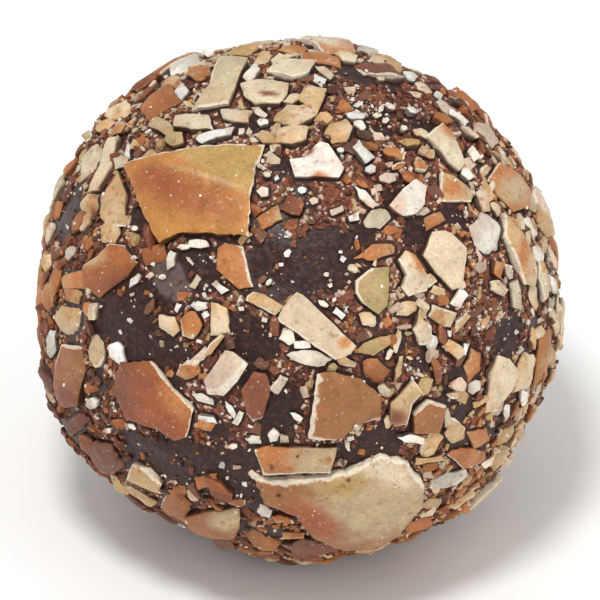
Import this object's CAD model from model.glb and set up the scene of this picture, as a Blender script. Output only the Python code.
import math
import random

import bmesh
import bpy
from mathutils import Matrix, Vector, noise
from mathutils.bvhtree import BVHTree
from mathutils.geometry import intersect_point_line


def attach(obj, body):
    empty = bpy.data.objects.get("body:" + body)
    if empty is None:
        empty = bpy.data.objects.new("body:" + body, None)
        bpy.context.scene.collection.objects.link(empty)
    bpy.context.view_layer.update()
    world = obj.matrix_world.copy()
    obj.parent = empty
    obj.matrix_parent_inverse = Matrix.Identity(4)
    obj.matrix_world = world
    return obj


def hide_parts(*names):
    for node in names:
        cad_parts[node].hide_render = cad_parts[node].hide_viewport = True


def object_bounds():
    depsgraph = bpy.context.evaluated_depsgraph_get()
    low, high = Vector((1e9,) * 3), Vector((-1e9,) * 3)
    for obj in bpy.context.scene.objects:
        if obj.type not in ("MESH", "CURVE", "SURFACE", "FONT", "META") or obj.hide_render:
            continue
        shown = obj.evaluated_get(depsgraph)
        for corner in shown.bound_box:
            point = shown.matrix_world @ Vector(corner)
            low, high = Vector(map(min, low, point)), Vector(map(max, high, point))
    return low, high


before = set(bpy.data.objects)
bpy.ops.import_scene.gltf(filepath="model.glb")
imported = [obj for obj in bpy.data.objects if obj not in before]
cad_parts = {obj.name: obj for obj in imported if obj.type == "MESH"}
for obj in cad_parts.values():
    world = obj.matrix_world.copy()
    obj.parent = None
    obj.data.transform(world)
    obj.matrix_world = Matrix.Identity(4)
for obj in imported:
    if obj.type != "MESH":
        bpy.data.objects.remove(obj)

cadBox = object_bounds()
scene = bpy.context.scene
mm = 0.001  # shapes are worked out in millimetres and finished in metres


def linear(hexColour):
    levels = [int(hexColour[place:place + 2], 16) / 255 for place in (1, 3, 5)]
    return [x / 12.92 if x <= 0.04045 else ((x + 0.055) / 1.055) ** 2.4 for x in levels] + [1]


# how the truffle stands, as its CAD does: the show side faces -Y and tips up
ball = {
    "radius": 14.5,
    "centreHeight": 13.8,
    "showTilt": 35,
    "uneven": 0.22, "unevenSize": 5.0,
    # swellings and dips round the show side's outline: degrees round, height, half width
    "lumps": (
        (0, -0.15, 10), (60, -0.45, 9), (83, -0.15, 10), (134, 0.5, 17), (176, -0.1, 9),
        (209, 0.75, 14), (245, -0.55, 17), (284, -0.2, 10), (309, 0.4, 11), (332, -0.3, 8),
    ),
    "cuts": 122,
    "dents": 0.16, "dentSize": 1.7,  # where the chocolate was pressed and rolled
    "grain": 0.03, "grainSize": 0.5,
    # nut meal stuck in the chocolate, thicker in patches and gone next to a bedded chip
    "crust": 0.13, "crustSize": 0.42, "crusted": 0.8, "crustVaries": 0.45, "crustPatchSize": 2.6,
    "crustGap": (0.02, 0.25),
    # bare patches on the back, and how ragged every patch is, by the waves in a radius
    "patchWaves": 4.5, "raggedWaves": 12, "ragged": 0.3, "spotEdge": (1.15, 0.8), "back": (0.3, 0.1),
    # places on the show side where bare chocolate shows: across, up, radius
    "bare": (
        (-13, 4.8, 1.9), (-9.6, 0, 2), (-7.2, 1.2, 1.6), (-9.2, -1.6, 1.8), (-9, 4.6, 0.8),
        (-1.6, 2.6, 1.4), (1.4, 2.4, 2), (0.2, 1.6, 1.3), (3.2, 12.6, 1.2), (3.4, 3.4, 0.9),
        (-2.4, -2.4, 1.3), (-6.4, -9.2, 2.4), (-9, -8.4, 1.6), (-4.2, -9.6, 1.8), (-0.8, -5.6, 1.1),
        (4, -8.4, 1.7), (11.6, -2, 1.4), (-3, 9.8, 0.8), (-5.6, 2, 0.8), (-3.4, -12.6, 0.9),
        (-10.9, -1.2, 1.3), (-8, -2.8, 1.3), (-6.8, -3.2, 0.9), (-1.3, -7, 1.2), (-2.8, -8.8, 1),
        (-2.9, -10.8, 1.1), (-0.8, -13, 0.7), (-2.8, 7.4, 0.6), (-1, 7.4, 0.7), (-11.2, -4.6, 0.8),
        (8.6, 4.8, 0.9), (-3.2, -3, 1), (9.2, -6, 0.8), (-4.6, -7.2, 0.8), (6.3, 3.7, 0.8), (3, -9, 0.8),
        (-2.4, -11.4, 0.9), (-3.1, -1.3, 0.8), (-4.8, 1.5, 0.7), (6.9, 9.6, 0.8), (5, 12, 0.9),
        (-9, -9.6, 0.9), (4.6, 9.6, 0.7), (8.9, -4.7, 1.4), (12.3, -1.4, 0.6), (2.3, -8.5, 0.8),
        (9.6, 3.8, 0.5), (-5.2, 0.9, 0.7), (-2.9, 0.6, 0.6), (-1, -13, 1), (-7, -4.8, 0.6), (3, 9.4, 0.5),
        (5, 5.6, 0.5), (11, -6.9, 0.7), (13.1, -1.2, 0.6), (6.8, -3.3, 0.8), (-1, 0.9, 0.8),
    ),
    # places there where only grit and dust stuck
    "gritty": (
        (4.4, 11.4, 2.8), (-0.4, 5.2, 2.4), (2.6, 6.4, 1.9), (10.6, -1.6, 2.3), (-1, -7, 1.8),
        (6.6, -4.2, 1.2), (2, -0.9, 1.3), (6.2, 11.6, 2), (-5.2, -7.6, 1.9), (9, 5, 1), (-2.6, -2.4, 1.8),
        (-11, -4.8, 1.6), (-4.8, -10.2, 2), (-9, 9, 1), (9.2, -6.2, 1), (1.2, 3.6, 1.8), (5.4, -8, 1.4),
        (-8.2, 4, 1.2), (-10.4, -8, 1.6),
    ),
    "hazy": ((-7.4, 1.3, 1.1), (-6.6, 0.4, 0.7)),  # with cocoa dust
}

tilt = math.radians(ball["showTilt"])
right = Vector((1, 0, 0))
up = Vector((0, math.sin(tilt), math.cos(tilt)))
facing = Vector((0, -math.cos(tilt), math.sin(tilt)))
centre = Vector((0, 0, ball["centreHeight"]))
lumps = [(right * math.cos(math.radians(turn)) + up * math.sin(math.radians(turn)), height,
          math.radians(halfWidth)) for turn, height, halfWidth in ball["lumps"]]
lumpReach = 3  # half widths


def chocolateRadius(direction):
    radius = ball["radius"]
    for lump, height, halfWidth in lumps:
        away = direction.angle(lump) / halfWidth
        if away < lumpReach:
            radius += height * math.exp(-away * away)
    return radius + ball["uneven"] * noise.noise(direction * (ball["radius"] / ball["unevenSize"]))


def smooth(low, high, value):
    share = min(max((value - low) / (high - low), 0), 1)
    return share * share * (3 - 2 * share)


def randomDirection(rng):
    return Vector((rng.gauss(0, 1), rng.gauss(0, 1), rng.gauss(0, 1))).normalized()


def meshOf(bm, name):
    mesh = bpy.data.meshes.new(name)
    bm.to_mesh(mesh)
    bm.free()
    return mesh


# where a place seen square on to the show side is on the chocolate, as a way from its centre
def showDirection(across, rise, stands):
    reach = ball["radius"]
    for _ in range(3):
        depth = math.sqrt(max(reach ** 2 - across ** 2 - rise ** 2, 1))
        direction = (right * across + up * rise + facing * depth).normalized()
        reach = chocolateRadius(direction) + stands
    return direction


def showPlace(point):
    away = point - centre
    return Vector((away.dot(right), away.dot(up)))


def spotsAt(places):
    return [(showDirection(across, rise, 0), radius) for across, rise, radius in places]


bareSpots, grittySpots, hazySpots = (spotsAt(ball[kind]) for kind in ("bare", "gritty", "hazy"))


# 1 inside round spots, or in patches strewn over the back, and 0 outside them
def patchShare(direction, spots, away, least):
    share = smooth(least, least + 0.2, noise.noise(direction * ball["patchWaves"] + away))
    share *= smooth(*ball["back"], direction.dot(facing))
    ragged = 1 + ball["ragged"] * noise.noise(direction * ball["raggedWaves"])
    for spot, radius in spots:
        reach = direction.angle(spot) * ball["radius"] / radius
        share = max(share, smooth(*ball["spotEdge"], reach * ragged))
    return share


def bareness(direction):
    return patchShare(direction, bareSpots, Vector((3, 1, 4)), 0.2)


def grittiness(direction):
    return patchShare(direction, grittySpots, Vector((6, 2, 9)), 0.05)


def haziness(direction):
    return patchShare(direction, hazySpots, Vector((1, 7, 2)), 0.3)


# a node takes its settings by name, and each input takes a value or another node's output
def addNode(tree, kind, inputs=None, **settings):
    made = tree.nodes.new("ShaderNode" + kind)
    for name, value in settings.items():
        setattr(made, name, value)
    for name, value in (inputs or {}).items():
        if isinstance(value, bpy.types.NodeSocket):
            tree.links.new(value, made.inputs[name])
        else:
            made.inputs[name].default_value = value
    return made.outputs


# spreads least to most over low to high
def fromTo(value, least, most, low=0, high=1):
    return {"Value": value, "From Min": least, "From Max": most, "To Min": low, "To Max": high}


def newMaterial(name, shaderInputs):
    material = bpy.data.materials.new(name)
    material.use_nodes = True
    shader = material.node_tree.nodes["Principled BSDF"]
    for socket, value in shaderInputs.items():
        shader.inputs[socket].default_value = value
    return material


def plugged(material, outputs):
    shader = material.node_tree.nodes["Principled BSDF"]
    for socket, output in outputs.items():
        material.node_tree.links.new(output, shader.inputs[socket])
    return material


# dark chocolate, melted, rolled by hand and set: nearly black brown with a weak satin shine, a
# thin haze of cocoa dust, and a red brown grainy crust of nut meal wherever nuts stuck to it
chocolateLook = {
    "dark": "#2A1814", "hazed": "#73645F", "ruddy": "#5C352B",
    "meal": "#8E5542", "mealDark": "#48291F", "mealPale": "#CDAE96",
    # size, detail and roughness of each noise
    "noises": {"blotch": (2.4, 5, 0.62), "ragged": (0.7, 4, 0.7), "speckle": (0.3, 4, 0.7),
               "bump": (0.3, 3, 0.6)},
    # how each noise is spread: from, to, least and most
    "haze": (0.52, 1.15), "speckled": (0.48, 0.66, 0, 0.7), "pale": (0.83, 0.87),
    "covered": (0.92, 1.12), "satin": (0.35, 0.7, 0.34, 0.55),
    "dusted": 0.45, "mealSize": 0.24, "mealHeight": 0.08, "mealRoughness": 0.8,
    "bumpHeight": 0.06, "bumpStrength": 0.8,
}


def makeChocolateMaterial():
    look = chocolateLook
    colours = {name: linear(look[name])
               for name in ("dark", "hazed", "ruddy", "meal", "mealDark", "mealPale")}
    material = newMaterial("darkChocolateHandRolled", {"IOR": 1.47, "Specular IOR Level": 0.3})
    tree = material.node_tree
    place = addNode(tree, "TexCoord")["Object"]
    crusted, dusty = (addNode(tree, "Attribute", attribute_name=name)["Fac"]
                      for name in ("crusted", "hazed"))
    blotch, ragged, speckle, rough = (
        addNode(tree, "TexNoise", {"Vector": place, "Scale": 1 / (size * mm), "Detail": detail,
                                   "Roughness": roughness})["Fac"]
        for size, detail, roughness in look["noises"].values())
    # cocoa dust hazes some places, with ragged edges, and fine nut meal reddens it all over
    uneven = addNode(tree, "Mix", {0: 0.5, 2: blotch, 3: ragged})[0]
    reach = addNode(tree, "Math", {0: dusty, 1: look["dusted"], 2: uneven},
                    operation="MULTIPLY_ADD")[0]
    haze = addNode(tree, "MapRange", fromTo(reach, *look["haze"]),
                   interpolation_type="SMOOTHSTEP")["Result"]
    hazed = addNode(tree, "Mix", {0: haze, 6: colours["dark"], 7: colours["hazed"]},
                    data_type="RGBA")[2]
    ruddy = addNode(tree, "MapRange", fromTo(speckle, *look["speckled"]))["Result"]
    bare = addNode(tree, "Mix", {0: ruddy, 6: hazed, 7: colours["ruddy"]}, data_type="RGBA")[2]
    # each grain of the nut meal has its own brown, and a few are pale
    grains = addNode(tree, "TexVoronoi", {"Vector": place, "Scale": 1 / (look["mealSize"] * mm)})
    chance = addNode(tree, "SeparateColor", {0: grains["Color"]})
    pale = addNode(tree, "MapRange", fromTo(chance["Green"], *look["pale"]))["Result"]
    brown = addNode(tree, "Mix", {0: chance["Red"], 6: colours["mealDark"], 7: colours["meal"]},
                    data_type="RGBA")[2]
    meal = addNode(tree, "Mix", {0: pale, 6: brown, 7: colours["mealPale"]}, data_type="RGBA")[2]
    reach = addNode(tree, "Math", {0: crusted, 1: ragged}, operation="ADD")[0]
    covered = addNode(tree, "MapRange", fromTo(reach, *look["covered"]),
                      interpolation_type="SMOOTHSTEP")["Result"]
    coloured = addNode(tree, "Mix", {0: covered, 6: bare, 7: meal}, data_type="RGBA")[2]
    satin = addNode(tree, "MapRange", fromTo(blotch, *look["satin"]))["Result"]
    shine = addNode(tree, "Mix", {0: covered, 2: satin, 3: look["mealRoughness"]})[0]
    waxy = addNode(tree, "Bump", {"Height": rough, "Distance": look["bumpHeight"] * mm,
                                  "Strength": look["bumpStrength"]})["Normal"]
    gritty = addNode(tree, "Math", {0: grains["Distance"], 1: covered}, operation="MULTIPLY")[0]
    bump = addNode(tree, "Bump", {"Height": gritty, "Distance": look["mealHeight"] * mm,
                                  "Strength": 1, "Normal": waxy}, invert=True)["Normal"]
    return plugged(material, {"Base Color": coloured, "Roughness": shine, "Normal": bump})


# nut kernel, roasted and chopped: a smooth golden brown outer face, and pale, dull, grainy
# broken faces that show as a light line along some edges of each outer face
nutLook = {
    "broken": "#F6ECDA", "cocoa": "#442822", "stain": "#B4683C", "speck": "#F2E0C4", "pit": "#7A4A38",
    "redder": "#FFF2F2", "yellower": "#F8FFF6",
    # size, detail and roughness of each noise
    "noises": {"grain": (0.15, 3, 0.65), "blotch": (1.1, 5, 0.62), "roast": (0.8, 6, 0.7),
               "mottle": (0.32, 3, 0.65), "speck": (0.24, 2, 0.6), "pit": (0.4, 2, 0.6)},
    # how each noise is spread: from, to, least and most
    "rimShift": (0.3, 0.7, -0.8, 0.8), "onFace": (0.7, 1.3), "browned": (0.52, 0.7),
    "specks": (0.62, 0.7, 0, 0.26), "pits": (0.62, 0.7, 0, 0.4), "rubbed": (0.6, 0.85),
    "blotchLight": (0.25, 0.75, 0.75, 1.18), "grainLight": (0.3, 0.7, 0.83, 1.13),
    "mottled": (0.35, 0.65),
    "rimPale": 0.75, "brokenRoughness": 0.85, "grainHeight": 0.04,
}


def makeNutMaterial(name, cocoaShare, gloss):
    look = nutLook
    material = newMaterial(name, {
        "IOR": 1.46, "Specular IOR Level": 0.3, "Subsurface Weight": 0.12,
        "Subsurface Radius": (1, 0.55, 0.3), "Subsurface Scale": 0.4 * mm,
    })
    tree = material.node_tree
    place = addNode(tree, "TexCoord")["Object"]
    tone = addNode(tree, "Attribute", attribute_name="tone")["Color"]
    inward, coat, stain = (addNode(tree, "Attribute", attribute_name=layer)["Fac"]
                           for layer in ("inward", "coat", "stain"))
    grain, blotch, roast, mottle, speck, pit = (
        addNode(tree, "TexNoise", {"Vector": place, "Scale": 1 / (size * mm), "Detail": detail,
                                   "Roughness": roughness})["Fac"]
        for size, detail, roughness in look["noises"].values())
    # the broken rim is wider in some places than in others
    shift = addNode(tree, "MapRange", fromTo(blotch, *look["rimShift"]))["Result"]
    reach = addNode(tree, "Math", {0: inward, 1: shift}, operation="ADD")[0]
    onFace = addNode(tree, "MapRange", fromTo(reach, *look["onFace"]),
                     interpolation_type="SMOOTHSTEP")["Result"]
    broken = addNode(tree, "Mix", {0: look["rimPale"], 6: tone, 7: linear(look["broken"])},
                     data_type="RGBA")[2]
    face = addNode(tree, "Mix", {0: onFace, 6: broken, 7: tone}, data_type="RGBA")[2]
    # roasting browned it unevenly
    browned = addNode(tree, "MapRange", fromTo(roast, *look["browned"]),
                      interpolation_type="SMOOTHSTEP")["Result"]
    stained = addNode(tree, "Math", {0: browned, 1: stain}, operation="MULTIPLY")[0]
    # crumbs too fine to be pieces of their own: pale specks and small dark pits
    specks = addNode(tree, "MapRange", fromTo(speck, *look["specks"]))["Result"]
    pits = addNode(tree, "MapRange", fromTo(pit, *look["pits"]))["Result"]
    for share, colour in ((stained, look["stain"]), (specks, look["speck"]), (pits, look["pit"])):
        face = addNode(tree, "Mix", {0: share, 6: face, 7: linear(colour)}, data_type="RGBA")[2]
    # it is lighter and darker from place to place, and redder and yellower from grain to grain
    light = addNode(tree, "MapRange", fromTo(blotch, *look["blotchLight"]))["Result"]
    grainLight = addNode(tree, "MapRange", fromTo(grain, *look["grainLight"]))["Result"]
    lights = addNode(tree, "Math", {0: light, 1: grainLight}, operation="MULTIPLY")[0]
    varied = addNode(tree, "VectorMath", {0: face, "Scale": lights}, operation="SCALE")[0]
    redder = addNode(tree, "MapRange", fromTo(mottle, *look["mottled"]))["Result"]
    tint = addNode(tree, "Mix", {0: redder, 6: linear(look["yellower"]), 7: linear(look["redder"])},
                   data_type="RGBA")[2]
    varied = addNode(tree, "VectorMath", {0: varied, 1: tint}, operation="MULTIPLY")[0]
    # cocoa rubbed on from the chocolate, heavier where a chip's coat says so
    rubbed = addNode(tree, "Math", {0: blotch, 1: coat}, operation="ADD")[0]
    cocoa = addNode(tree, "MapRange", fromTo(rubbed, *look["rubbed"], 0, cocoaShare),
                    interpolation_type="SMOOTHSTEP")["Result"]
    coloured = addNode(tree, "Mix", {0: cocoa, 6: varied, 7: linear(look["cocoa"])},
                       data_type="RGBA")[2]
    rough = addNode(tree, "MapRange", fromTo(onFace, 0, 1, look["brokenRoughness"], gloss))["Result"]
    bump = addNode(tree, "Bump", {"Height": grain, "Distance": look["grainHeight"] * mm,
                                  "Strength": 1})["Normal"]
    return plugged(material, {"Base Color": coloured, "Roughness": rough, "Normal": bump})


# what a chip's face can look like: its colour, how much cocoa is rubbed on it, how far it is
# stained by roasting, and the tone that it shades into
tones = {name: (linear(colour)[:3], *others) for name, colour, *others in (
    ("caramel", "#C68A48", -0.15, 0.2, "brown"), ("amber", "#A8643A", -0.15, 0.1, "caramel"),
    ("honey", "#BC9A5E", -0.15, 0.1, "tan"), ("brown", "#AC6C42", -0.03, 0.2, "orange"),
    ("toast", "#A26E46", -0.02, 0.3, "brown"), ("smeared", "#85503C", 0.06, 0, "cocoa"),
    ("sand", "#BFA884", -0.1, 0.3, "tan"), ("orange", "#C07E4C", -0.02, 0.5, "tan"),
    ("tan", "#D0AC7E", -0.02, 0.5, "cream"), ("cream", "#E4D2B6", -0.08, 0.4, "tan"),
    ("white", "#F6F0E6", -0.12, 0.2, "pink"), ("olive", "#B8A070", -0.02, 0.3, "tan"),
    ("pink", "#DEC4B0", -0.03, 0.3, "cream"), ("pale", "#CFC8BC", -0.06, 0.1, "white"),
    ("cocoa", "#7A5444", 0.08, 0.3, "rust"), ("dark", "#54362C", 0.1, 0, "cocoa"),
    ("rust", "#87503A", 0.02, 0.2, "brown"), ("russet", "#A25A36", -0.02, 0.1, "brown"),
    ("straw", "#D0C0A0", -0.08, 0.3, "tan"),
)}

# the tones found round each place on the show side, and mirrored on the back: across, up, tones
regions = (
    (-13, 0, "orange brown rust tan cocoa rust"),
    (-11, 9, "orange tan cream rust tan brown"),
    (-5, 11, "cream cream white tan orange cream"),
    (1, 13, "cream tan orange cream pale rust"),
    (4, 11.5, "rust cocoa dark rust cocoa dark"),
    (8, 10, "rust cocoa rust pink dark brown"),
    (12, 6, "tan cream orange pink tan rust"),
    (13, 0, "cream tan pink orange white tan"),
    (11, -7, "tan cream pink orange tan brown"),
    (11.7, -1.7, "rust cocoa dark cocoa rust tan"),
    (4, -14, "brown rust tan tan orange toast"),
    (-6, -12, "cocoa brown rust cocoa pink toast"),
    (-11, -8, "cocoa brown rust cocoa toast dark"),
    (-9, -3, "cocoa rust dark brown pink white"),
    (-5, -2, "cream orange tan olive white rust"),
    (-2, -8, "cocoa dark rust white brown cocoa"),
    (-6, -10, "cocoa dark rust cocoa dark brown"),
    (0, 5, "rust brown rust cocoa rust cocoa"),
    (6, 6, "pink tan cream brown orange pink"),
    (7, 1, "cream tan rust orange cream pink"),
    (4, -4, "tan pink orange cream olive brown"),
)
regionsBlend = 1.2  # how far the tones of one place stray into the next


def toneNear(rng, direction):
    place = Vector((direction.dot(right), direction.dot(up))) * ball["radius"]
    place += Vector((rng.gauss(0, regionsBlend), rng.gauss(0, regionsBlend)))
    across, rise, names = min(regions, key=lambda region: (place - Vector(region[:2])).length)
    return rng.choice(names.split())


reportedFaces = 5000  # the face counts of smaller pieces aren't printed


def finish(name, mesh, material, slot, *replaced):
    mesh.transform(Matrix.Scale(mm, 4))
    mesh.materials.append(material)
    piece = bpy.data.objects.new(name, mesh)
    scene.collection.objects.link(piece)
    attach(piece, "root")
    if replaced:
        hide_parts(*replaced)
    if len(mesh.polygons) > reportedFaces:
        print(name, len(mesh.polygons), "faces")


boxMargin = 0.02  # what a piece stays inside the part's box by


# moves a small piece back by whatever it stands out of the box
def keepInside(verts):
    for axis in range(3):
        places = [vert.co[axis] for vert in verts]
        under = cadBox[0][axis] / mm + boxMargin - min(places)
        over = max(places) - cadBox[1][axis] / mm + boxMargin
        move = under if under > 0 else -over if over > 0 else 0
        for vert in verts:
            vert.co[axis] += move


def joinedMesh(name, meshes):
    bm = bmesh.new()
    for mesh in meshes:
        bm.from_mesh(mesh)
        bpy.data.meshes.remove(mesh)
    return meshOf(bm, name)


def treeOf(meshes):
    bm = bmesh.new()
    for mesh in meshes:
        bm.from_mesh(mesh)
    tree = BVHTree.FromBMesh(bm)
    bm.free()
    return tree


def makeChocolate(bedded):
    bm = bmesh.new()
    crustedLayer = bm.verts.layers.float.new("crusted")
    hazedLayer = bm.verts.layers.float.new("hazed")
    bmesh.ops.create_cube(bm, size=2)
    bmesh.ops.subdivide_edges(bm, edges=bm.edges, cuts=ball["cuts"], use_grid_fill=True)
    for vert in bm.verts:
        direction = Vector(math.tan(part * math.pi / 4) for part in vert.co).normalized()
        patch = noise.noise(direction * (ball["radius"] / ball["crustPatchSize"]) + Vector((0, 9, 0)))
        crusted = (1 - bareness(direction)) * (ball["crusted"] + ball["crustVaries"] * patch)
        gap = bedded.find_nearest(centre + direction * chocolateRadius(direction))[3]
        crusted *= smooth(*ball["crustGap"], gap)
        dent = noise.noise(direction * (ball["radius"] / ball["dentSize"]) + Vector((7, 0, 0)))
        grain = noise.noise(direction * (ball["radius"] / ball["grainSize"]))
        crust = noise.noise(direction * (ball["radius"] / ball["crustSize"]) + Vector((0, 0, 5)))
        relief = ball["dents"] * dent + ball["grain"] * grain + ball["crust"] * crust * crusted
        vert.co = centre + direction * (chocolateRadius(direction) + relief)
        vert.co.z = max(vert.co.z, 0)
        vert[crustedLayer] = crusted
        vert[hazedLayer] = haziness(direction)
    mesh = meshOf(bm, "chocolateBody")
    mesh.shade_smooth()
    return mesh


# a chip's face looks along its normal, and its outline lies across and along it
def turnedTo(normal):
    across = (right - normal * right.dot(normal)).normalized()
    return Matrix((across, normal.cross(across), normal)).transposed()


def bedding(direction, normal, stands):
    place = centre + direction * (chocolateRadius(direction) + stands)
    return Matrix.Translation(place) @ turnedTo(normal).to_4x4()


# an outline drawn square on to the show side, laid in the plane of a chip's face
def laidFlat(placing, corners):
    normal = placing.col[2].to_3d()
    toLocal = placing.to_3x3().inverted()
    outline = []
    for across, rise in corners:
        flat = right * across + up * rise
        lifted = flat - facing * (flat.dot(normal) / facing.dot(normal))
        outline.append((toLocal @ lifted).xy)
    return outline


def facingEnough(direction, least):
    toViewer = direction.dot(facing)
    if toViewer >= least:
        return direction
    sideways = (direction - facing * toViewer).normalized()
    return sideways * math.sqrt(1 - least ** 2) + facing * least


def edgesOf(outline):
    return zip(outline, outline[1:] + outline[:1])


def counterClockwise(outline):
    area = sum(a.cross(b) for a, b in edgesOf(outline))
    return outline if area > 0 else outline[::-1]


# how unevenly a nut breaks: each corner's shift and reach, and how far and where each edge bends
breaking = {
    "corners": (4, 4, 5, 5, 6), "shift": 0.18, "reach": (0.88, 1.07), "bend": (-0.1, 0.08),
    "bendPlace": (0.3, 0.7),
}


# each edge bends at a place along it, by a share of its length
def unevenEdges(rng, outline, least, most):
    broken = []
    for a, b in edgesOf(outline):
        middle = a.lerp(b, rng.uniform(*breaking["bendPlace"]))
        broken += [a, middle + (b - a).orthogonal() * rng.uniform(least, most)]
    return broken


# corners round an uneven oval
def brokenOutline(rng, length, width, turn):
    outline = []
    corners = rng.choice(breaking["corners"])
    full = 1 / math.cos(math.pi / corners)
    for number in range(corners):
        shift = rng.uniform(-breaking["shift"], breaking["shift"])
        angle = math.tau * (number + 0.5 + shift) / corners
        reach = rng.uniform(*breaking["reach"]) * full
        corner = Vector((math.cos(angle) * length, math.sin(angle) * width)) * reach / 2
        corner.rotate(Matrix.Rotation(math.radians(turn), 2))
        outline.append(corner)
    return unevenEdges(rng, outline, *breaking["bend"])


def edgeDistances(place, outline):
    distances = []
    for a, b in edgesOf(outline):
        on, share = intersect_point_line(place, a, b)
        on = a if share < 0 else b if share > 1 else on
        distances.append((place - on.xy).length)
    return distances


# what all chips share
chip = {
    "sharpAngle": 38,  # degrees: a sharper edge stays crisp
    "warmth": (0.03, -0.05, -0.13),  # what the warmest chip has more of red, green and blue
    "stains": (0.4, 1.6), "rims": (0.5, 1.3), "rimEdge": (0.6, 0), "rimUneven": 0.7,
    # how one tone goes over into its partner across a face
    "shadeEdge": (-0.1, 0.8), "shadeUneven": 0.9, "shadeSize": 0.5,
    "markWaves": 2.2, "markUneven": 0.25,
    "merged": 0.15,  # points nearer than this share of a step become one
}


# the share of a soft-edged mark that covers a place
def markShare(place, mark, away):
    across, rise, length, width, turn, soft, _ = mark
    offset = place - Vector((across, rise))
    offset.rotate(Matrix.Rotation(-math.radians(turn), 2))
    ragged = noise.noise(Vector((place.x, place.y, 0)) * chip["markWaves"] + away)
    reach = Vector((offset.x / length, offset.y / width)).length + chip["markUneven"] * ragged
    return smooth(1 + soft, 1 - soft, reach)


# a chip: a flat outline cut into a fine grid, curved and worn, with broken sides pulled down
def chipMesh(outline, placing, facts, look, seed):
    rng = random.Random(seed)
    outline = counterClockwise(outline)
    thick, dome, shading = (look.get(key, facts[key]) for key in ("thick", "dome", "shading"))
    away = Vector((rng.uniform(-50, 50), rng.uniform(-50, 50), rng.uniform(-50, 50)))
    tone, coat, stain, partner = tones[look["tone"]]
    stain *= rng.uniform(*chip["stains"])
    warm = rng.uniform(-1, 1) * facts["hues"]
    light = Vector(1 + part * warm for part in chip["warmth"]) * rng.uniform(*facts["lights"])
    partner = Vector(tones[look.get("partner", partner)][0])
    shadeWay = Vector((rng.gauss(0, 1), rng.gauss(0, 1))).normalized()
    size = max(corner.length for corner in outline)
    rimTurn = math.radians(look.get("rimSide", rng.uniform(0, 360)))
    rimWay = Vector((math.cos(rimTurn), math.sin(rimTurn)))
    rim = look.get("rim", facts["rim"] * rng.uniform(*chip["rims"]))
    rimmed = "rim" in look or rng.random() < facts["rimmed"]
    rimless = []  # 0 along an edge with a pale rim, 1 along the others
    for a, b in edgesOf(outline):
        outwards = Vector((b.y - a.y, a.x - b.x)).normalized()
        rimless.append(smooth(*chip["rimEdge"], outwards.dot(rimWay)) if rimmed else 1)
    bm = bmesh.new()
    toneLayer = bm.verts.layers.float_color.new("tone")
    inwardLayer = bm.verts.layers.float.new("inward")
    coatLayer = bm.verts.layers.float.new("coat")
    stainLayer = bm.verts.layers.float.new("stain")
    bm.faces.new([bm.verts.new((*corner, 0)) for corner in outline])
    for axis in (Vector((1, 0, 0)), Vector((0, 1, 0))):
        reach = [axis.xy.dot(corner) for corner in outline]
        steps = max(int((max(reach) - min(reach)) / facts["step"]), 2)
        for number in range(1, steps):
            cut = axis * (min(reach) + (max(reach) - min(reach)) * number / steps)
            bmesh.ops.bisect_plane(bm, geom=bm.verts[:] + bm.edges[:] + bm.faces[:], plane_co=cut,
                                   plane_no=axis)
    bmesh.ops.remove_doubles(bm, verts=bm.verts, dist=facts["step"] * chip["merged"])
    for vert in bm.verts:
        distances = edgeDistances(vert.co.xy, outline)
        near = min(distances)
        wear = noise.noise(vert.co / facts["wearSize"] + away)
        ripple = facts["ripple"] * noise.noise(vert.co / facts["rippleSize"] + away)
        rimWidth = facts["rimWidth"] * (1 + chip["rimUneven"] * wear)
        drop = facts["rimDrop"] * (1 - smooth(0, rimWidth, near))
        shown = showPlace(placing @ vert.co)
        if "fold" in look:
            across, rise, turn, slope = look["fold"]
            past = (shown - Vector((across, rise))).dot(Vector((-math.sin(turn), math.cos(turn))))
            drop += max(past, 0) * slope
        uneven = chip["shadeUneven"] * noise.noise(vert.co / (chip["shadeSize"] * size) + away)
        shade = smooth(*chip["shadeEdge"], vert.co.xy.dot(shadeWay) / size + uneven)
        colour = Vector(tone).lerp(partner, shading * shade)
        colour = Vector(part * share for part, share in zip(colour, light))
        for mark in look.get("marks", ()):
            other = Vector(tones[mark[-1]][0])
            colour = colour.lerp(other, markShare(shown, mark, away))
        vert[toneLayer] = (*colour, 1)
        vert[inwardLayer] = min(distance / rim + 3 * bare for distance, bare in zip(distances, rimless))
        vert[coatLayer] = coat
        vert[stainLayer] = stain
        if near < 1e-4:  # the outline itself is nibbled
            vert.co.xy *= 1 - facts["nibble"] * (0.5 + wear)
        vert.co.z = ripple - facts["ripple"] - drop - vert.co.xy.length_squared / (2 * dome)
    edges = [edge for edge in bm.edges if edge.is_boundary]
    for share, taper, rubbed in facts["sides"]:
        made = bmesh.ops.extrude_edge_only(bm, edges=edges)["geom"]
        verts = {item for item in made if isinstance(item, bmesh.types.BMVert)}
        edges = [item for item in made if isinstance(item, bmesh.types.BMEdge)
                 and all(vert in verts for vert in item.verts)]
        for vert in verts:
            vert.co.xy *= taper + facts["sideUneven"] * noise.noise(vert.co * 1.3 + away)
            vert.co.z += (-thick - vert.co.z) * share
            shaded = smooth(0.5, -0.2, vert.co.xy.normalized().dot(rimWay)) if rimmed else 0.6
            vert[coatLayer] = rubbed + facts["sideCocoa"] * shaded
    bmesh.ops.contextual_create(bm, geom=edges)
    bmesh.ops.triangulate(bm, faces=bm.faces)
    bmesh.ops.recalc_face_normals(bm, faces=bm.faces)
    bmesh.ops.transform(bm, matrix=placing, verts=bm.verts)
    keepInside(bm.verts)
    mesh = meshOf(bm, "chip")
    mesh.shade_smooth()
    mesh.set_sharp_from_angle(angle=math.radians(chip["sharpAngle"]))
    return mesh


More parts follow.
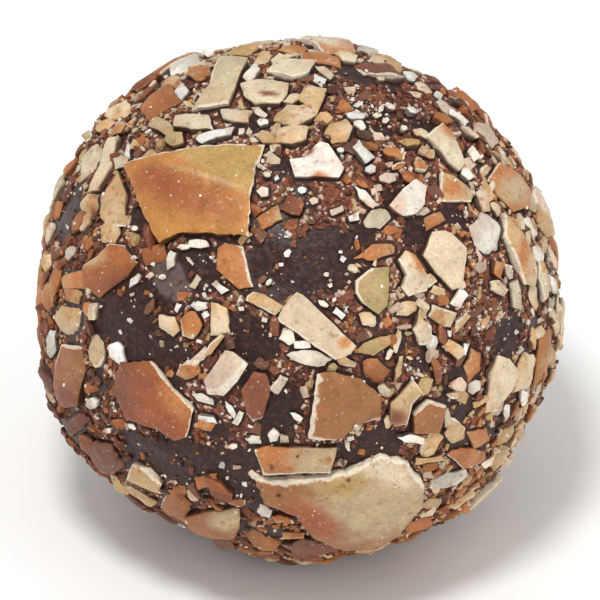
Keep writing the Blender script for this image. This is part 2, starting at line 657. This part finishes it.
# the large chips, one for each CAD node; a mark is across, up, half length, half width, turn,
# softness and tone, and a fold is across, up, turn and slope
largeChip = {
    "thick": 1.3, "taper": 0.85, "dome": 11,  # as the CAD solids are
    "step": 0.2, "rimWidth": 0.26, "rimDrop": 0.13, "rim": 0.12, "rimmed": 0.6,
    "sideUneven": 0.03, "sideCocoa": 0.3, "shading": 0.35, "hues": 0.3, "lights": (0.92, 0.99),
    "wearSize": 0.55, "ripple": 0.08, "rippleSize": 1.0, "nibble": 0.045,
    # share of the way down, taper and cocoa of each band of a side
    "sides": ((0.16, 0.985, 0.12), (0.34, 0.965, 0.4), (1, 0.895, 0.6)),
    "looks": {
        "skin_chip_01": {
            "tone": "caramel", "thick": 1.8, "dome": 17, "fold": (-4.6, 6.8, -0.33, 0.2), "rim": 0.17,
            "rimSide": 55,
            "marks": (
                (-6.4, 6, 2.7, 1.1, -16, 0.7, "amber"), (-8, 6.8, 1.2, 0.7, -16, 0.8, "russet"),
                (-3.9, 8, 3.2, 1.25, -18, 0.16, "honey"), (-4.9, 6.85, 2.3, 0.14, -18, 0.7, "tan"),
            ),
        },
        "skin_chip_02": {
            "tone": "toast", "rimSide": 120,
            "marks": ((-13.4, -5.6, 0.8, 0.9, 0, 0.7, "rust"),),
        },
        "skin_chip_03": {
            "tone": "russet", "rimSide": 20, "rim": 0.08,
            "marks": (
                (-10.9, -5.1, 1.7, 2.3, 0, 0.6, "smeared"), (-6.9, -5.9, 1.4, 0.5, -52, 0.7, "orange"),
            ),
        },
        "skin_chip_04": {"tone": "toast", "rimSide": 215, "rim": 0.28},
        "skin_chip_05": {
            "tone": "toast", "thick": 2.6, "dome": 15, "rimSide": 70, "rim": 0.28,
            "marks": (
                (4.3, -11.3, 3.4, 2.5, 8, 0.4, "sand"), (0.9, -12.6, 1.6, 0.8, -25, 0.6, "russet"),
                (2.4, -10.6, 1.2, 0.4, 10, 0.9, "honey"), (5.2, -10.1, 1.5, 0.5, -22, 0.8, "cream"),
            ),
        },
        "skin_chip_06": {
            "tone": "orange", "rimSide": 250, "rim": 0.14,
            "marks": ((1.1, -9.1, 1.5, 1.2, 0, 0.5, "sand"),),
        },
        "skin_chip_07": {"tone": "orange", "rimSide": 10, "rim": 0.16, "shading": 0.1},
        "skin_chip_08": {
            "tone": "amber", "rim": 0.05, "shading": 0.2,
            "marks": ((-11.7, 2.4, 0.7, 0.5, 30, 0.6, "tan"), (-10.2, 1, 1, 0.6, 30, 0.8, "rust")),
        },
        "skin_chip_09": {"tone": "rust", "rim": 0.06},
        "skin_chip_10": {"tone": "toast", "rimSide": 100},
        "skin_chip_11": {
            "tone": "toast", "rimSide": 90,
            "marks": ((-4.2, -12.4, 0.9, 0.6, 0, 0.5, "sand"),),
        },
        "skin_chip_12": {"tone": "orange", "marks": ((12.1, 6.2, 0.8, 0.7, -50, 0.6, "sand"),)},
        "cream_chip_01": {"tone": "tan", "rimSide": 30},
        "cream_chip_03": {"tone": "straw"},
        "cream_chip_04": {"tone": "cream", "marks": ((-1.75, 11.62, 0.6, 0.13, -4, 0.4, "rust"),)},
        "cream_chip_06": {
            "tone": "white",
            "marks": ((0.3, 8.6, 0.6, 0.5, -20, 0.3, "rust"), (1.1, 6.9, 0.5, 0.3, 0, 0.5, "orange")),
        },
        "cream_chip_07": {"tone": "cream", "marks": ((8.5, 9.6, 0.6, 0.4, -30, 0.5, "orange"),)},
        "cream_chip_08": {"tone": "white", "marks": ((5.4, 5.4, 0.6, 0.7, 0, 0.6, "pink"),)},
        "cream_chip_09": {"tone": "tan", "marks": ((8.6, 6.3, 0.6, 0.4, -30, 0.7, "orange"),)},
        "cream_chip_10": {"tone": "tan", "marks": ((12.6, 2.6, 0.3, 0.9, 0, 0.5, "orange"),)},
        "cream_chip_11": {
            "tone": "cream", "rimSide": 20, "shading": 0.1,
            "marks": ((8.8, 0.3, 0.35, 0.25, 0, 0.5, "orange"),),
        },
        "cream_chip_12": {"tone": "cream", "marks": ((6.6, 2.2, 0.25, 0.8, 20, 0.5, "orange"),)},
        "cream_chip_13": {"tone": "olive", "rimSide": 170},
        "cream_chip_14": {"tone": "pink", "rimSide": -50, "rim": 0.35},
        "cream_chip_15": {"tone": "tan"},
        "cream_chip_16": {
            "tone": "cream", "rimSide": -130, "shading": 0.1,
            "marks": ((2.5, -2.4, 0.4, 0.35, 0, 0.5, "orange"),),
        },
        "cream_chip_17": {"tone": "tan", "marks": ((5.4, -6.6, 0.6, 0.5, 0, 0.6, "rust"),)},
    },
    # on the far sides, the bend of the edges, the tones of each kind and what they shade into
    "bend": (0, 0.05),
    "elsewhere": {
        "skin": (("brown", "caramel", "amber", "toast", "russet"), ("sand", "rust", "smeared", "tan")),
        "cream": (("cream", "straw", "pink"), ("tan", "orange", "white")),
    },
}


# reads a chip's place and outline back from its buried end, which is flat and tapered
def readChip(node, thick):
    bm = bmesh.new()
    bm.from_mesh(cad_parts[node].data)
    bmesh.ops.remove_doubles(bm, verts=bm.verts, dist=1e-6)
    bmesh.ops.dissolve_limit(bm, angle_limit=math.radians(0.3), verts=bm.verts, edges=bm.edges)
    inner = [face for face in bm.faces
             if face.normal.dot((face.calc_center_median() / mm - centre).normalized()) < -0.8]
    end = max(inner, key=lambda face: face.calc_area())
    normal = -end.normal.normalized()
    corners = [loop.vert.co / mm for loop in end.loops]
    middle = sum(corners, Vector()) / len(corners)
    turn = turnedTo(normal)
    placing = Matrix.Translation(middle + normal * thick) @ turn.to_4x4()
    toLocal = turn.inverted()
    outline = [(toLocal @ (corner - middle)).xy / largeChip["taper"] for corner in corners]
    bm.free()
    return placing, outline


def makeLargeChips():
    meshes = {}
    for seed, node in enumerate(sorted(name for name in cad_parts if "chip" in name)):
        rng = random.Random(seed)
        look = largeChip["looks"].get(node, {"tone": "cream"})
        placing, outline = readChip(node, look.get("thick", largeChip["thick"]))
        if int(node[-2:]) > 20:
            faceTones, others = largeChip["elsewhere"][node.split("_")[0]]
            look = {"tone": rng.choice(faceTones), "partner": rng.choice(others),
                    "shading": rng.uniform(0.4, 1)}
            outline = unevenEdges(rng, counterClockwise(outline), *largeChip["bend"])
        meshes[node] = chipMesh(outline, placing, largeChip, look, seed)
    return meshes


# the middling pieces that show, by tone: across, up, length, width and turn in degrees
laidShards = {
    "cream": (
        (-11.9, 8, 2.2, 0.9, 58), (-10.3, 10.8, 1.7, 0.6, 25), (-3.7, 10.6, 1.7, 0.7, -5),
        (-6.1, 10.2, 2, 0.9, -5), (1.4, 13, 1.1, 0.4, -38), (-0.5, 9.4, 2.1, 1.1, 8),
        (-0.2, 10.6, 2.2, 1.1, 12), (2.7, 13.9, 1.3, 0.5, -15), (6.9, 9.5, 0.9, 0.4, -25),
        (7, 12.1, 1.1, 0.4, -35), (4.4, 4.6, 1.7, 1, 25), (-0.4, 11.45, 1, 0.5, 15),
        (10.4, 5.6, 1.3, 0.5, -70), (7.35, 1.1, 0.9, 0.5, -50), (5, -6.9, 0.8, 0.4, 80),
        (12.3, 0.4, 1.8, 0.5, -80), (13.3, 0.3, 1.6, 0.5, -75), (13.9, 1.2, 2.6, 0.5, -80),
        (11.3, 0.7, 1, 0.6, -35), (-11.8, -0.7, 1.1, 0.4, 80), (-7.4, -1.4, 1.4, 0.9, -50),
        (-4.6, -1.2, 2, 1.15, 95), (-6.2, -3.6, 1, 0.4, 10), (-5.9, 1, 0.7, 0.5, 60),
        (-0.9, -7.9, 0.5, 0.4, 0), (3.9, -1.1, 1.1, 0.8, -30), (7, -1.8, 1.6, 0.9, -75),
        (6, -0.5, 1.3, 0.8, 10), (5.5, -2.3, 1.4, 0.35, 80), (8.7, -5.4, 0.6, 0.35, 0),
        (12.8, -4.2, 2.2, 0.9, 75), (13.9, -2.1, 1.2, 0.6, -60), (8.4, -6.8, 1, 0.4, -80),
        (-1.4, 8.7, 0.7, 0.5, 20),
    ),
    "brown": (
        (-7.9, 11.3, 2.6, 1.3, 40), (9.4, 11.5, 1.9, 0.7, -40), (5.6, 7.6, 0.8, 0.35, 20),
        (6.1, 7, 0.8, 0.5, -40), (-8.3, 2.6, 1.4, 1.1, 20), (-5.4, -10.4, 1.4, 0.7, 15),
        (4.3, -4, 1.6, 1.2, -40), (9.8, -9.1, 2, 1, 0), (6.9, -12.9, 1.8, 0.6, 15),
    ),
    "white": (
        (-9.8, 8.5, 0.8, 0.3, 80), (-6.8, 11.9, 1, 0.6, 50), (-4.9, 9.4, 2.1, 0.5, 15),
        (-2.3, 10.7, 0.9, 0.4, -30), (-2.1, 10.1, 0.6, 0.4, 0), (3.2, 10.5, 1.2, 0.4, 0),
        (3.4, 10, 0.8, 0.5, -50), (3.6, 8.4, 1.2, 0.7, -50), (4, 7.4, 0.6, 0.5, 0),
        (9.9, 8.35, 1, 0.45, -52), (9.1, 10.4, 1.3, 0.4, -38), (1.1, 12.5, 0.9, 0.45, -35),
        (6.3, 12.8, 0.9, 0.4, -30), (3.7, 5.8, 1.8, 0.5, -45), (3.1, 4.7, 0.6, 0.4, 20),
        (-2.8, 12.9, 1.1, 0.6, 60), (-6.6, 3, 0.7, 0.3, 10), (10.7, 3.8, 2.2, 1.6, -84),
        (13.1, 4.2, 1.5, 0.4, -60), (13.6, 2.6, 1.2, 0.5, -70), (9, 0.1, 1, 0.7, 60),
        (-7.3, 2.3, 1.1, 0.4, 75), (-5.7, 3.2, 1.4, 0.35, 0), (-9.4, 1.1, 0.9, 0.35, 50),
        (-10.4, -3, 1.3, 0.9, -60), (-10.9, -7.4, 0.4, 0.3, 0), (-9.5, -7.2, 0.5, 0.25, -30),
        (-5.3, -5.6, 1.4, 0.5, -20), (-5.7, -0.3, 1, 0.6, 0), (-4.5, 0.7, 0.9, 0.5, -40),
        (-3.9, -6.2, 1, 0.35, -60), (-3.5, -6.7, 0.9, 0.35, 60), (-5.4, -6.8, 1.2, 0.4, -8),
        (-2.6, -7.9, 0.9, 0.5, 0), (-1.5, -7.7, 0.7, 0.6, 60), (-3.8, -8.3, 0.5, 0.3, 0),
        (-0.2, -6.6, 0.8, 0.3, -30), (-2, -12, 0.9, 0.5, -30), (1.5, -13.9, 0.6, 0.35, 0),
        (0.15, -2.5, 0.9, 0.5, 0), (-0.7, -2, 1, 0.8, 90), (7.5, -2.4, 0.9, 0.6, 60),
        (9.4, -2.8, 0.6, 0.3, 80), (5, -3.1, 0.8, 0.3, 60), (9.9, -4.9, 0.9, 0.6, 60),
        (11.8, -6.4, 0.9, 0.3, 80), (12.8, -5.6, 0.9, 0.4, 75), (6.3, -7.9, 1.4, 0.5, -10),
        (10.7, -9.3, 0.6, 0.4, 40), (6.3, -12.4, 0.8, 0.35, 5), (-0.7, 2.65, 0.5, 0.35, 50),
        (-1.1, 2, 0.28, 0.22, 0), (-1.75, 1, 0.45, 0.25, 50), (1.5, 1.45, 0.3, 0.25, 0),
        (2.4, 2.3, 0.4, 0.3, -30), (2.3, 2.7, 0.25, 0.2, 0), (1.3, -0.2, 0.6, 0.3, -30),
        (2.2, -0.8, 0.8, 0.35, -40), (-3.3, -0.5, 0.35, 0.25, 0), (-7.8, 1.3, 0.4, 0.3, 0),
        (-6.9, -0.4, 0.5, 0.3, 60), (-9.4, 4.1, 0.4, 0.3, 0), (-2.1, 6.1, 0.7, 0.5, 0),
        (-1.3, 6.9, 0.3, 0.25, 30), (0.1, 6.2, 0.5, 0.4, 0), (4.6, 10.9, 0.5, 0.25, 60),
        (5.1, 11, 0.6, 0.3, -20), (6.4, 10.8, 0.6, 0.35, -20), (5.9, 9.8, 0.4, 0.3, 0),
        (4.9, 10.2, 0.4, 0.3, 20), (3.3, 11.1, 0.6, 0.25, 20), (4.4, 10.5, 0.5, 0.25, 0),
        (2.3, 8.5, 0.4, 0.3, 0), (11.5, 8.4, 1, 0.3, -50), (9.5, 7.2, 0.8, 0.5, -50),
    ),
    "tan": (
        (-11, 9.9, 1.3, 0.6, 30), (-12.1, 9.4, 0.8, 0.5, 30), (-8, 9.9, 1.3, 0.8, -30),
        (-2.1, 13.8, 1.2, 0.8, 40), (0.8, 11.6, 1.5, 1.2, 70), (2.2, 9.6, 1.6, 1.3, 45),
        (5, 13.4, 2.2, 1, -20), (7.2, 8.4, 1.1, 0.5, -20), (10.5, 7.4, 0.8, 0.5, 50),
        (12.9, 2, 1.3, 0.5, -72), (14, 4.6, 2.1, 0.8, -62), (-14.5, 2.2, 1, 0.6, 80),
        (-10.8, 3.9, 1.5, 1.1, 80), (-13.2, -1.2, 2, 1.4, -5), (-9, -11.3, 1.8, 0.6, -30),
        (-10.3, -10.6, 1.6, 0.7, -40), (-4.9, -2.6, 1.6, 0.4, 50), (-2, -0.2, 2, 0.8, -25),
        (2.6, -3.5, 1.2, 0.5, -20), (8.2, -0.9, 1.6, 0.9, -25), (8.7, -2.8, 1.2, 0.7, -30),
        (5.6, -3.8, 1.5, 0.35, 78), (11.7, -7.7, 1.6, 0.6, 48), (8.8, -7.5, 1.5, 1.1, -70),
        (7.5, -8.2, 1.6, 1, 50), (7.4, -9.1, 1.7, 0.4, 5), (11.4, -9, 1.8, 0.7, 65),
        (7.5, -11.6, 1.2, 0.6, 10), (9.2, -11.4, 1.8, 0.5, 32),
    ),
    "pale": (
        (-6.6, 13.5, 2.4, 0.6, 22), (3.9, 14.4, 1.4, 0.5, -15), (6.9, 13.1, 1.2, 0.5, -35),
        (-14.2, -2.6, 1.6, 0.5, 88), (-11.9, -5.9, 0.7, 0.6, 0), (0.6, -3.3, 2.3, 0.7, -10),
        (8.6, -10.2, 2.4, 0.7, 18), (-6.2, 2.2, 0.6, 0.2, -50), (7.9, 11.7, 0.5, 0.3, -30),
    ),
    "orange": (
        (-5.8, 13, 1.3, 0.8, 10), (1.1, 13.8, 2.4, 0.6, -8), (-0.4, 14.3, 1.6, 0.5, -3),
        (5.4, 8.4, 1.2, 0.6, -20), (6.9, 7.6, 0.9, 0.5, -30), (7.6, 4.5, 1.2, 0.8, 30),
        (4.4, 2.75, 2.2, 0.9, 15), (14.5, 3, 2.8, 0.5, -78), (11.3, 1.8, 1.1, 0.5, 75),
        (-12.9, 1.2, 1.6, 1.2, 10), (-13, 0.4, 1.2, 0.8, -30), (-14.4, 0.2, 1.6, 0.7, 88),
        (-12.1, -0.5, 0.9, 0.5, 90), (-6.2, -1.4, 1.6, 1.1, 85), (-6.3, -4, 1.4, 0.9, 20),
        (-5.3, -7.1, 1, 0.5, -10), (-1, -12.5, 1.2, 0.4, -15), (-0.3, -13.4, 1.2, 0.4, 0),
        (9.8, -3.7, 1.8, 0.9, 75), (13.9, -3.4, 3.4, 0.6, 75), (10.2, -7.9, 1.3, 1, 20),
        (-1.7, 4.7, 1.3, 1, 30),
    ),
    "rust": (
        (-9, 12.4, 1.5, 0.5, 35), (-12, -8.2, 1.4, 0.7, -50), (-4.6, -10.9, 1.9, 0.8, -35),
        (7.7, -4, 1.4, 0.4, -78), (-0.4, 5.3, 1.3, 0.9, -20),
    ),
    "olive": (
        (-7.2, 9.2, 1, 0.8, 10), (-3.2, 14.3, 1.8, 0.6, 12), (6.3, 9, 1.2, 0.4, 0),
        (4.2, -2.6, 2.2, 0.8, 22),
    ),
    "pink": (
        (10.6, 9.5, 1.9, 0.8, -48), (8.3, 11, 1, 0.4, -40), (4.9, 6.9, 1.1, 0.6, 5),
        (11.1, 5.2, 0.9, 0.4, -60), (11.9, 1.6, 0.9, 0.4, -70), (6.9, 5, 0.9, 0.5, 20),
        (-13.1, 2.7, 0.9, 0.5, 60), (-6.1, -11.1, 0.9, 0.6, -60), (-5.6, -3.1, 1.2, 0.5, 40),
        (-1.2, -4.8, 1.2, 0.6, 50), (1.7, 0.85, 0.28, 0.22, 20), (-8.5, 1.4, 0.5, 0.3, 30),
        (-1.9, 7.1, 0.4, 0.3, 0), (2.1, 5.1, 0.8, 0.4, 20), (0.8, 5.6, 0.5, 0.4, 0),
        (4.6, 12.6, 0.5, 0.3, 0),
    ),
    "sand": (
        (-11.6, -2.8, 2, 0.85, 90),
    ),
    "cocoa": (
        (-12.6, -7, 1.4, 0.8, 40), (-11.2, -9, 2.2, 1.5, -40), (0.8, -14.2, 3.2, 1, 0),
    ),
    "toast": (
        (-7, -11.9, 2, 1.2, -30), (-2.2, -13.8, 2.2, 0.9, -22),
    ),
}

# the shards are middling chips: those that show are laid one by one, the rest are strewn
shard = {
    "thick": 0.95, "step": 0.27, "dome": 6, "rimWidth": 0.25, "rimDrop": 0.12, "rim": 0.1, "rimmed": 0.35,
    "sideCocoa": 0.3, "sideUneven": 0.05, "shading": 0.8, "hues": 1, "lights": (0.78, 1.07),
    "wearSize": 0.4, "ripple": 0.09, "rippleSize": 0.6, "nibble": 0.14,
    "sides": ((0.2, 0.98, 0.1), (0.45, 0.96, 0.4), (1, 0.9, 0.6)),
    "stands": (0.3, 0.62), "lean": 9, "leastFacing": 0.42,
    "strewn": 300, "strewnLength": (1.0, 3.0), "strewnWidth": (0.35, 0.85), "strewnLean": 14,
}
# flakes are small flat pieces that lie between the shards and half over them
flake = dict(shard, thick=0.5, step=0.4, dome=3, rimWidth=0.14, rimDrop=0.07, rim=0.05, rimmed=0.15,
             sides=((0.35, 0.97, 0.15), (1, 0.9, 0.5)), sideCocoa=0.3, stands=(0.12, 0.5), strewn=900,
             strewnLength=(0.4, 1.5), strewnWidth=(0.28, 0.8), strewnLean=26)


def leaned(rng, normal, degrees):
    side = normal.orthogonal().normalized()
    side.rotate(Matrix.Rotation(rng.uniform(0, math.tau), 3, normal))
    turned = normal.copy()
    turned.rotate(Matrix.Rotation(math.radians(rng.uniform(0, degrees)), 3, side))
    return turned


def layShards(taken):
    meshes = []
    laid = [(tone, *place) for tone, places in laidShards.items() for place in places]
    for tone, across, rise, length, width, turn in laid:
        # its place is its seed, so that a change in one piece leaves the others alone
        seed = round(100 * across) * 10000 + round(100 * rise)
        rng = random.Random(seed)
        stands = rng.uniform(*shard["stands"])
        direction = showDirection(across, rise, stands)
        normal = facingEnough(leaned(rng, direction, shard["lean"]), shard["leastFacing"])
        placing = bedding(direction, normal, stands)
        outline = laidFlat(placing, brokenOutline(rng, length, width, turn))
        look = {"tone": tone, "thick": min(shard["thick"], 0.2 + width)}
        meshes.append(chipMesh(outline, placing, shard, look, seed))
        taken.append((direction, max(corner.length for corner in outline)))
    return meshes


# most chips are small, few lie on bare chocolate or under the ball, and they overlap a little
strewing = {"skew": 1.6, "lowest": -0.88, "mostBare": (0.05, 0.5), "tries": 40, "overlap": 0.7}


# strews chips where nuts cover the chocolate, each in the tones of its place
def strewChips(facts, taken, seed, nearest, mostFacing):
    meshes = []
    for attempt in range(strewing["tries"] * facts["strewn"]):
        if len(meshes) == facts["strewn"]:
            break
        rng = random.Random(seed * 1000000 + attempt)
        direction = randomDirection(rng)
        low, high = facts["strewnLength"]
        length = low + (high - low) * rng.random() ** strewing["skew"]
        if direction.dot(facing) > mostFacing or direction.z < strewing["lowest"]:
            continue
        if max(bareness(direction), grittiness(direction)) > rng.uniform(*strewing["mostBare"]):
            continue
        reach = nearest * length
        if any(direction.angle(other) * ball["radius"] < reach + strewing["overlap"] * size
               for other, size in taken):
            continue
        outline = brokenOutline(rng, length, length * rng.uniform(*facts["strewnWidth"]),
                                rng.uniform(0, 180))
        placing = bedding(direction, leaned(rng, direction, facts["strewnLean"]),
                          rng.uniform(*facts["stands"]))
        look = {"tone": toneNear(rng, direction)}
        meshes.append(chipMesh(outline, placing, facts, look, seed + attempt))
        taken.append((direction, length * 0.4))
    return meshes


# what all small pieces share: how deep they are chopped, how unevenly they are stretched, how far
# from a bedded chip they start, and how high above the floor they stay
smallPiece = {
    "chop": (0.26, 0.46), "stretch": ((0.7, 1.35), (0.7, 1.2), (0.7, 1.2)), "chipGap": (0.6, 0.2),
    "lowest": 0.35, "outside": 20,  # well outside the ball
}


# a cube chopped by slanting cuts
def choppedShape(rng, size, chops):
    bm = bmesh.new()
    bmesh.ops.create_cube(bm, size=1)
    for _ in range(chops):
        normal = randomDirection(rng)
        geom = bm.verts[:] + bm.edges[:] + bm.faces[:]
        bmesh.ops.bisect_plane(bm, geom=geom, plane_co=normal * rng.uniform(*smallPiece["chop"]),
                               plane_no=normal, clear_outer=True)
        bmesh.ops.contextual_create(bm, geom=[edge for edge in bm.edges if edge.is_boundary])
    bmesh.ops.remove_doubles(bm, verts=bm.verts, dist=0.08)
    bmesh.ops.triangulate(bm, faces=bm.faces)
    bmesh.ops.recalc_face_normals(bm, faces=bm.faces)
    bmesh.ops.scale(bm, vec=size, verts=bm.verts)
    mesh = meshOf(bm, "chopped")
    mesh.attributes.new("tone", "FLOAT_COLOR", "POINT")
    for name in ("inward", "coat", "stain"):
        mesh.attributes.new(name, "FLOAT", "POINT")
    return mesh


# strews small pieces on the chocolate and on the chips, one copy of a shape at a time
def strewnPieces(facts, chocolate, chips, bedded):
    rng = random.Random(facts["seed"])
    shapes = [choppedShape(rng, facts["shape"], facts["chops"]) for _ in range(facts["shapes"])]
    whole = [[vert.co.copy() for vert in shape.vertices] for shape in shapes]
    joined = bmesh.new()
    made = 0
    while made < facts["count"]:
        direction = randomDirection(rng)
        low, high = facts["size"]
        size = low + (high - low) * rng.random() ** facts["skew"]
        chance = rng.random()
        if facts["clustered"] and dusting(direction) < rng.random():
            continue
        start = centre + direction * smallPiece["outside"]
        ground, groundNormal, _, groundFar = chocolate.ray_cast(start, -direction)
        top, topNormal, _, topFar = chips.ray_cast(start, -direction)
        onChip = top is not None and topFar < groundFar
        if onChip and chance > facts["onChips"]:
            continue
        if not onChip:
            gap = smooth(*smallPiece["chipGap"], bedded.find_nearest(ground)[3])
            if max(bareness(direction), gap) > chance + facts["bareShare"]:
                continue
        place, normal = (top, topNormal) if onChip else (ground, groundNormal)
        if place.z < smallPiece["lowest"] + size * 0.6:
            continue
        lean = leaned(rng, normal, facts["lean"])
        spin = Matrix.Rotation(rng.uniform(0, math.tau), 3, "Z")
        turn = lean.to_track_quat("Z", "Y").to_matrix() @ spin
        stretch = Vector([rng.uniform(*ends) for ends in smallPiece["stretch"]]) * size
        local = rng.random() < facts["localTones"]
        name = toneNear(rng, direction) if local else rng.choices(facts["tones"], facts["shares"])[0]
        tone, coat, stain, _ = tones[name]
        light = rng.uniform(*facts["light"])
        tone = [part * light for part in tone] + [1]
        which = rng.randrange(len(shapes))
        shape = shapes[which]
        lift = place + normal * size * facts["shape"][2] * facts["proud"]
        for vert, was in zip(shape.vertices, whole[which]):
            vert.co = lift + turn @ (was * stretch)
        keepInside(shape.vertices)
        count = len(shape.vertices)
        shape.attributes["tone"].data.foreach_set("color", tone * count)
        for layer, value in (("inward", 3), ("coat", coat), ("stain", stain)):
            shape.attributes[layer].data.foreach_set("value", [value] * count)
        joined.from_mesh(shape)
        made += 1
    for shape in shapes:
        bpy.data.meshes.remove(shape)
    return meshOf(joined, "strewn")


# pale dust fell in clusters: across, up, radius
dustClusters = (
    (4.2, 10.2, 1.6), (3.0, 10.9, 0.8), (9.8, -0.9, 1.6), (11.4, -1.0, 1.2), (2.0, -0.7, 1.0),
    (-0.7, 5.2, 1.6), (9.2, 4.6, 1.0), (6.5, -3.8, 0.8), (-8.4, 1.2, 0.9), (5.6, 7.8, 1.4),
    (12.8, -6.2, 1.2),
)
dustSpots = spotsAt(dustClusters)


def dusting(direction):
    share = 0.1 + 0.5 * smooth(0.15, 0.4, noise.noise(direction * 5 + Vector((8, 2, 6))))
    if direction.dot(facing) > 0.2:
        share = 0.1
    for spot, radius in dustSpots:
        share = max(share, smooth(1.3, 0.4, direction.angle(spot) * ball["radius"] / radius))
    return share


chopped = {
    "seed": 21, "count": 1500, "size": (0.35, 1.0), "skew": 1.7, "shape": (1, 0.72, 0.45),
    "shapes": 28, "chops": 6, "lean": 32, "proud": 0.25, "onChips": 0.0, "bareShare": 0.01,
    "clustered": False, "localTones": 0.6,
    "tones": ("rust", "cocoa", "brown", "pink"), "shares": (3, 3, 2, 1), "light": (0.75, 1.05),
}
crumbs = {
    "seed": 22, "count": 9000, "size": (0.12, 0.4), "skew": 1.8, "shape": (1, 0.8, 0.65),
    "shapes": 20, "chops": 2, "lean": 55, "proud": 0.25, "onChips": 0.0015, "bareShare": 0.03,
    "clustered": False, "localTones": 0.4,
    "tones": ("dark", "cocoa", "rust", "brown", "pink", "white"),
    "shares": (4, 4, 4, 2, 1.5, 0.8), "light": (0.6, 1.05),
}
dust = {
    "seed": 23, "count": 4200, "size": (0.07, 0.22), "skew": 2.0, "shape": (1, 0.8, 0.7),
    "shapes": 8, "chops": 2, "lean": 60, "proud": 0.3, "onChips": 0.05, "bareShare": 0.1,
    "clustered": True, "localTones": 0,
    "tones": ("white", "pale", "pink", "cream"), "shares": (4, 2, 2, 1), "light": (0.85, 1.05),
}

print("breaking the large chips")
largeMeshes = makeLargeChips()
taken = []
for mesh in largeMeshes.values():
    middle = sum((vert.co for vert in mesh.vertices), Vector()) / len(mesh.vertices)
    reach = max((vert.co - middle).length for vert in mesh.vertices)
    taken.append(((middle - centre).normalized(), reach))
print("laying and strewing the shards")
shardMeshes = layShards(taken) + strewChips(shard, taken, 400, 0.38, 0.5)
beddedTree = treeOf(list(largeMeshes.values()) + shardMeshes)
print("shaping the chocolate")
chocolateMesh = makeChocolate(beddedTree)
print("strewing the flakes")
flakeMeshes = strewChips(flake, taken, 2000, 0.2, 1)
chocolateTree = treeOf([chocolateMesh])
chipTree = treeOf(list(largeMeshes.values()) + shardMeshes + flakeMeshes)
print("strewing the small pieces")
choppedMesh = strewnPieces(chopped, chocolateTree, chipTree, beddedTree)
chipTree = treeOf(list(largeMeshes.values()) + shardMeshes + flakeMeshes + [choppedMesh])
crumbMesh = strewnPieces(crumbs, chocolateTree, chipTree, beddedTree)
dustMesh = strewnPieces(dust, chocolateTree, chipTree, beddedTree)

print("finishing the pieces")
chocolate = makeChocolateMaterial()
largeNut = makeNutMaterial("roastedNutLargeChips", 0.85, 0.44)
brokenNut = makeNutMaterial("roastedNutShards", 0.8, 0.55)
fineNut = makeNutMaterial("roastedNutCrumbs", 0.6, 0.75)
finish("chocolate_body", chocolateMesh, chocolate, "chocolate", "chocolate_ball")
for node, mesh in largeMeshes.items():
    slot = "roasted_skin" if node.startswith("skin") else "pale_kernel"
    finish(node.replace("chip", "nut_chip"), mesh, largeNut, slot, node)
finish("nut_shards", joinedMesh("shards", shardMeshes), brokenNut, "pale_kernel")
finish("nut_flakes", joinedMesh("flakes", flakeMeshes), brokenNut, "pale_kernel")
finish("nut_pieces_chopped", choppedMesh, fineNut, "pale_kernel")
finish("nut_crumbs", crumbMesh, fineNut, "roasted_skin")
finish("nut_dust", dustMesh, fineNut, "pale_kernel")

studio = {
    "floor": "#FBFBFA", "floorSize": 1.2, "air": 0.66,
    "lens": 900, "sensor": 36, "distance": 0.8475,
    # way to the lamp across, up and out from the show side, distance, size, watts
    "lamps": ((-0.15, 0.62, 0.9, 0.45, 0.1, 1.1), (0.9, -0.1, 0.7, 0.5, 0.3, 0.42)),
}


def makeStudio():
    bm = bmesh.new()
    bmesh.ops.create_grid(bm, x_segments=8, y_segments=8, size=studio["floorSize"] / 2)
    mesh = meshOf(bm, "floor")
    paleCard = newMaterial("paleCard", {"Roughness": 0.9, "Base Color": linear(studio["floor"])})
    mesh.materials.append(paleCard)
    floor = bpy.data.objects.new("floor", mesh)
    scene.collection.objects.link(floor)

    scene.world = bpy.data.worlds.new("studioAir")
    scene.world.use_nodes = True
    air = scene.world.node_tree.nodes["Background"]
    air.inputs["Color"].default_value = (1, 1, 1, 1)
    air.inputs["Strength"].default_value = studio["air"]

    middle = centre * mm
    for number, (across, rise, out, distance, size, watts) in enumerate(studio["lamps"]):
        light = bpy.data.lights.new(f"softbox{number}", "AREA")
        light.shape = "DISK"
        light.size = size
        light.energy = watts
        lamp = bpy.data.objects.new(f"softbox{number}", light)
        away = (right * across + up * rise + facing * out).normalized()
        lamp.location = middle + away * distance
        lamp.rotation_euler = away.to_track_quat("Z", "Y").to_euler()
        scene.collection.objects.link(lamp)

    camera = bpy.data.objects.new("camera", bpy.data.cameras.new("camera"))
    camera.data.lens = studio["lens"]
    camera.data.sensor_width = studio["sensor"]
    camera.data.clip_start = 0.01
    camera.location = middle + facing * studio["distance"]
    camera.rotation_euler = facing.to_track_quat("Z", "Y").to_euler()
    scene.collection.objects.link(camera)
    scene.camera = camera
    scene.view_settings.view_transform = "Standard"


makeStudio()
